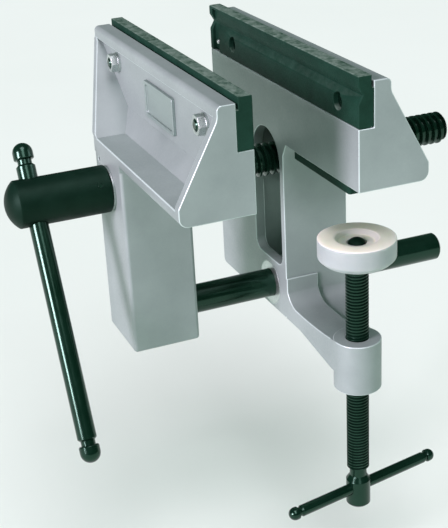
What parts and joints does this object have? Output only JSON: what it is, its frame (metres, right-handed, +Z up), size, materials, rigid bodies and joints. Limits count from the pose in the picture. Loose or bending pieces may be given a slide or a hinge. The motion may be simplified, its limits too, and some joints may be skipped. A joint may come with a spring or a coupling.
{
  "type": "ski tuning vise",
  "caption": "Cast ski vise that clamps to a table edge; a spindle drives the rubber-faced moving jaw along a guide rod.",
  "frame": {"origin": "middle of the underside of the table pad, where the vise rests on the table top", "axes": "+X along the jaws and away from the table's edge over the table, +Y along the spindle from the moving jaw to the fixed jaw, +Z up"},
  "size_m": [0.18, 0.2544, 0.248],
  "materials": {
    "cast_aluminium": "tumbled casting, satin",
    "black_rubber": "ground rubber, matt",
    "zinc_steel": "bright zinc plate",
    "black_steel": "black oxide, lightly oiled",
    "bronze": "machined bearing bronze",
    "anodised_plate": "satin plate, no marking",
    "white_nylon": "turned natural nylon"
  },
  "bodies": {
    "frame": {"rear_casting": "cast_aluminium", "rear_pad": "black_rubber", "pad_pin": "zinc_steel", "rear_pad_screws": "black_steel", "rear_pad_washers": "zinc_steel", "rear_pad_nuts": "zinc_steel", "table_pad": "black_rubber", "spindle_nut": "bronze", "nut_screws": "black_steel", "front_rod_bush": "zinc_steel", "rear_rod_bush": "zinc_steel"},
    "carriage": {"front_casting": "cast_aluminium", "front_pad": "black_rubber", "front_pad_screws": "black_steel", "front_pad_washers": "zinc_steel", "front_pad_nuts": "zinc_steel", "label_plate": "anodised_plate", "guide_rod": "black_steel", "rod_grub_screw": "black_steel", "spindle_bush": "bronze", "thrust_washers": "zinc_steel"},
    "spindle_unit": {"spindle": "black_steel", "handle_hub": "black_steel", "hub_pin": "black_steel"},
    "handle": {"handle_bar": "black_steel", "handle_knobs": "black_steel"},
    "pressure_disc": {"clamp_disc": "white_nylon"},
    "clamp_spindle": {"clamp_screw": "black_steel", "tip_button": "black_steel"},
    "clamp_handle": {"clamp_bar": "black_steel", "clamp_bar_knobs": "black_steel"}
  },
  "joints": [
    {"name": "jaw_slide", "type": "slide", "parent": "frame", "child": "carriage", "axis": [0, 1, 0], "range_m": [-0.07, 0.0515]},
    {"name": "spindle_turn", "type": "hinge", "parent": "carriage", "child": "spindle_unit", "pos_m": [-0.0665, -0.107, -0.011], "axis": [0, 1, 0], "range_deg": [-6301, 4636]},
    {"name": "handle_slide", "type": "slide", "parent": "spindle_unit", "child": "handle", "axis": [0.4848, 0, -0.8746], "range_m": [-0.1135, 0.009]},
    {"name": "clamp_travel", "type": "slide", "parent": "frame", "child": "pressure_disc", "axis": [0, 0, 1], "range_m": [-0.0385, 0.0295]},
    {"name": "clamp_turn", "type": "hinge", "parent": "pressure_disc", "child": "clamp_spindle", "pos_m": [0.0145, -0.0045, -0.096], "axis": [0, 0, 1], "range_deg": [-7922, 6070]},
    {"name": "clamp_bar_slide", "type": "slide", "parent": "clamp_spindle", "child": "clamp_handle", "axis": [-0.1874, 0.9823, 0], "range_m": [-0.0405, 0.033]}
  ],
  "couplings": [
    {"joint": "spindle_turn", "follows": "jaw_slide", "rad_per_m": 1570.8},
    {"joint": "clamp_turn", "follows": "clamp_travel", "rad_per_m": 3590.4}
  ]
}
